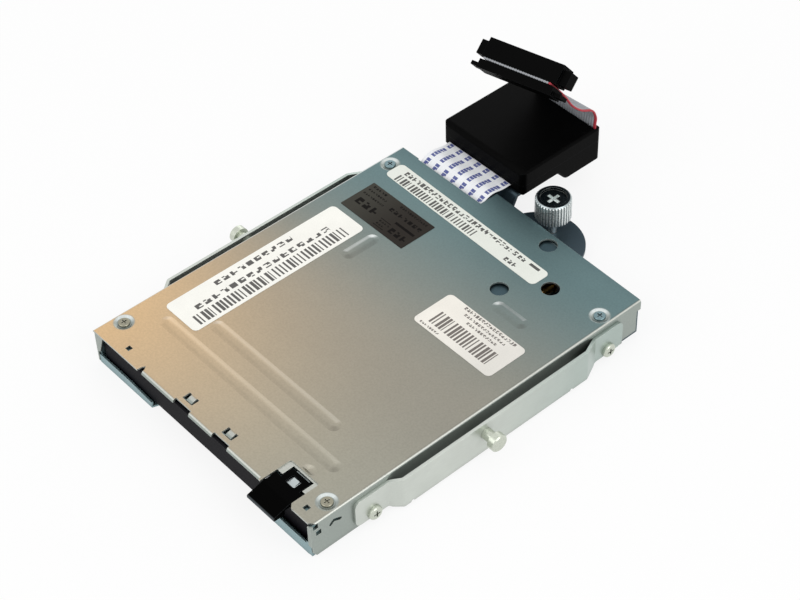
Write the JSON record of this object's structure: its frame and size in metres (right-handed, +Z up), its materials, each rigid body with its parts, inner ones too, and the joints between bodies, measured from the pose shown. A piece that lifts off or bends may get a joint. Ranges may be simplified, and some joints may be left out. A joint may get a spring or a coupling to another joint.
{
  "type": "floppy disk drive",
  "caption": "Slim slot-loading 3.5 inch floppy disk drive on side mounting rails, with an eject button, flat cable, adapter box, ribbon plug and rear thumbscrew.",
  "frame": {"origin": "middle of the whole part's underside, on the surface that it stands on", "axes": "+X to the right seen from the front, +Y from the disk slot to the back, +Z up"},
  "size_m": [0.1136, 0.1652, 0.0488],
  "materials": {
    "cover_steel": "galvanised sheet, faintly warm at the front and cool at the back",
    "frame_steel": "blue-grey coated sheet",
    "rail_steel": "bright zinc-plated sheet",
    "screw_steel": "bright plated",
    "mechanism_steel": "plain sheet",
    "spring_steel": "bright wire",
    "black_plastic": "moulded, satin",
    "white_plastic": "moulded, satin",
    "grey_plastic": "moulded, satin",
    "label_paper": "coated paper",
    "label_film": "dark film",
    "cable_white": "satin film with blue dashes",
    "cable_grey": "ribbed, one red edge",
    "board": "solder mask",
    "chip": "moulded package",
    "copper": "enamelled wire",
    "bronze": "sintered",
    "contact_gold": "plated",
    "aluminium": "cast",
    "magnet": "bonded ferrite"
  },
  "bodies": {
    "drive": {"top_cover": "cover_steel", "cover_screws": "screw_steel", "base_frame": "frame_steel", "spindle_bearing": "bronze", "stator_coils": "copper", "motor_board": "board", "guide_rods": "screw_steel", "rod_blocks": "mechanism_steel", "screw_bracket": "mechanism_steel", "stepper_motor": "bronze", "main_board": "board", "board_chips": "chip", "ffc_socket": "white_plastic", "switch_board": "board", "disk_switches": "black_plastic", "ffc_cable": "cable_white", "box_lower": "black_plastic", "box_upper": "black_plastic", "adapter_board": "board", "adapter_sockets": "white_plastic", "ribbon_cable": "cable_grey", "idc_body": "black_plastic", "idc_cap": "black_plastic", "idc_contacts": "contact_gold", "rail_right": "rail_steel", "rail_left": "rail_steel", "rail_screws": "screw_steel", "guide_pins": "screw_steel", "rear_bracket": "frame_steel", "bracket_screws": "screw_steel", "label_left": "label_paper", "label_dark": "label_film", "label_right": "label_paper", "label_long": "label_paper"},
    "door": {"front_door": "black_plastic"},
    "slider": {"eject_slider": "mechanism_steel", "eject_button": "black_plastic", "eject_springs": "spring_steel"},
    "holder": {"disk_holder": "mechanism_steel", "holder_pins": "screw_steel", "lever_post": "screw_steel"},
    "lever": {"trigger_lever": "mechanism_steel", "lever_pin": "screw_steel"},
    "spindle": {"spindle_hub": "screw_steel", "spindle_rotor": "mechanism_steel", "rotor_magnet": "magnet", "drive_pin": "screw_steel"},
    "carriage": {"head_carriage": "aluminium", "screw_follower": "screw_steel", "lower_head": "grey_plastic", "arm_pivot": "screw_steel"},
    "arm": {"upper_arm": "grey_plastic", "upper_head": "grey_plastic"},
    "screw": {"lead_screw": "screw_steel"},
    "washer": {"thumb_washer": "screw_steel"},
    "thumbscrew": {"thumbscrew": "screw_steel"}
  },
  "joints": [
    {"name": "door_hinge", "type": "hinge", "parent": "drive", "child": "door", "pos_m": [0, -0.0761, 0.0105], "axis": [1, 0, 0], "range_deg": [0, 88], "stiffness_Nm_per_rad": 0.0002, "springref_deg": -17.19},
    {"name": "slider_slide", "type": "slide", "parent": "drive", "child": "slider", "axis": [0, 1, 0], "range_m": [-0.0048, 0.0004]},
    {"name": "holder_lift", "type": "slide", "parent": "drive", "child": "holder", "axis": [0, 0, 1], "range_m": [-0.0024, 0.0002]},
    {"name": "lever_swing", "type": "hinge", "parent": "holder", "child": "lever", "pos_m": [0.037, -0.00735, 0.0113], "axis": [0, 0, 1], "range_deg": [-111.5, 0], "stiffness_Nm_per_rad": 0.0005, "springref_deg": 22.92},
    {"name": "spindle_spin", "type": "hinge", "parent": "drive", "child": "spindle", "pos_m": [0, -0.03385, 0.002], "axis": [0, 0, 1], "continuous": true},
    {"name": "carriage_slide", "type": "slide", "parent": "drive", "child": "carriage", "axis": [0, 1, 0], "range_m": [-0.0148, 0]},
    {"name": "screw_turn", "type": "hinge", "parent": "drive", "child": "screw", "pos_m": [0.022, 0.02215, 0.006], "axis": [0, 1, 0], "range_deg": [-1421, 0]},
    {"name": "arm_hinge", "type": "hinge", "parent": "carriage", "child": "arm", "pos_m": [0, 0.03125, 0.009], "axis": [1, 0, 0], "range_deg": [-0.85, 10]},
    {"name": "thumbscrew_slide", "type": "slide", "parent": "drive", "child": "washer", "axis": [0, 0, 1], "range_m": [-0.005, 0]},
    {"name": "thumbscrew_turn", "type": "hinge", "parent": "washer", "child": "thumbscrew", "pos_m": [0.0034, 0.05165, 0.01], "axis": [0, 0, 1], "continuous": true}
  ],
  "couplings": [
    {"joint": "slider_slide", "follows": "holder_lift", "ratio": 2},
    {"joint": "arm_hinge", "follows": "holder_lift", "rad_per_m": -72.6},
    {"joint": "screw_turn", "follows": "carriage_slide", "rad_per_m": 1675.5}
  ]
}
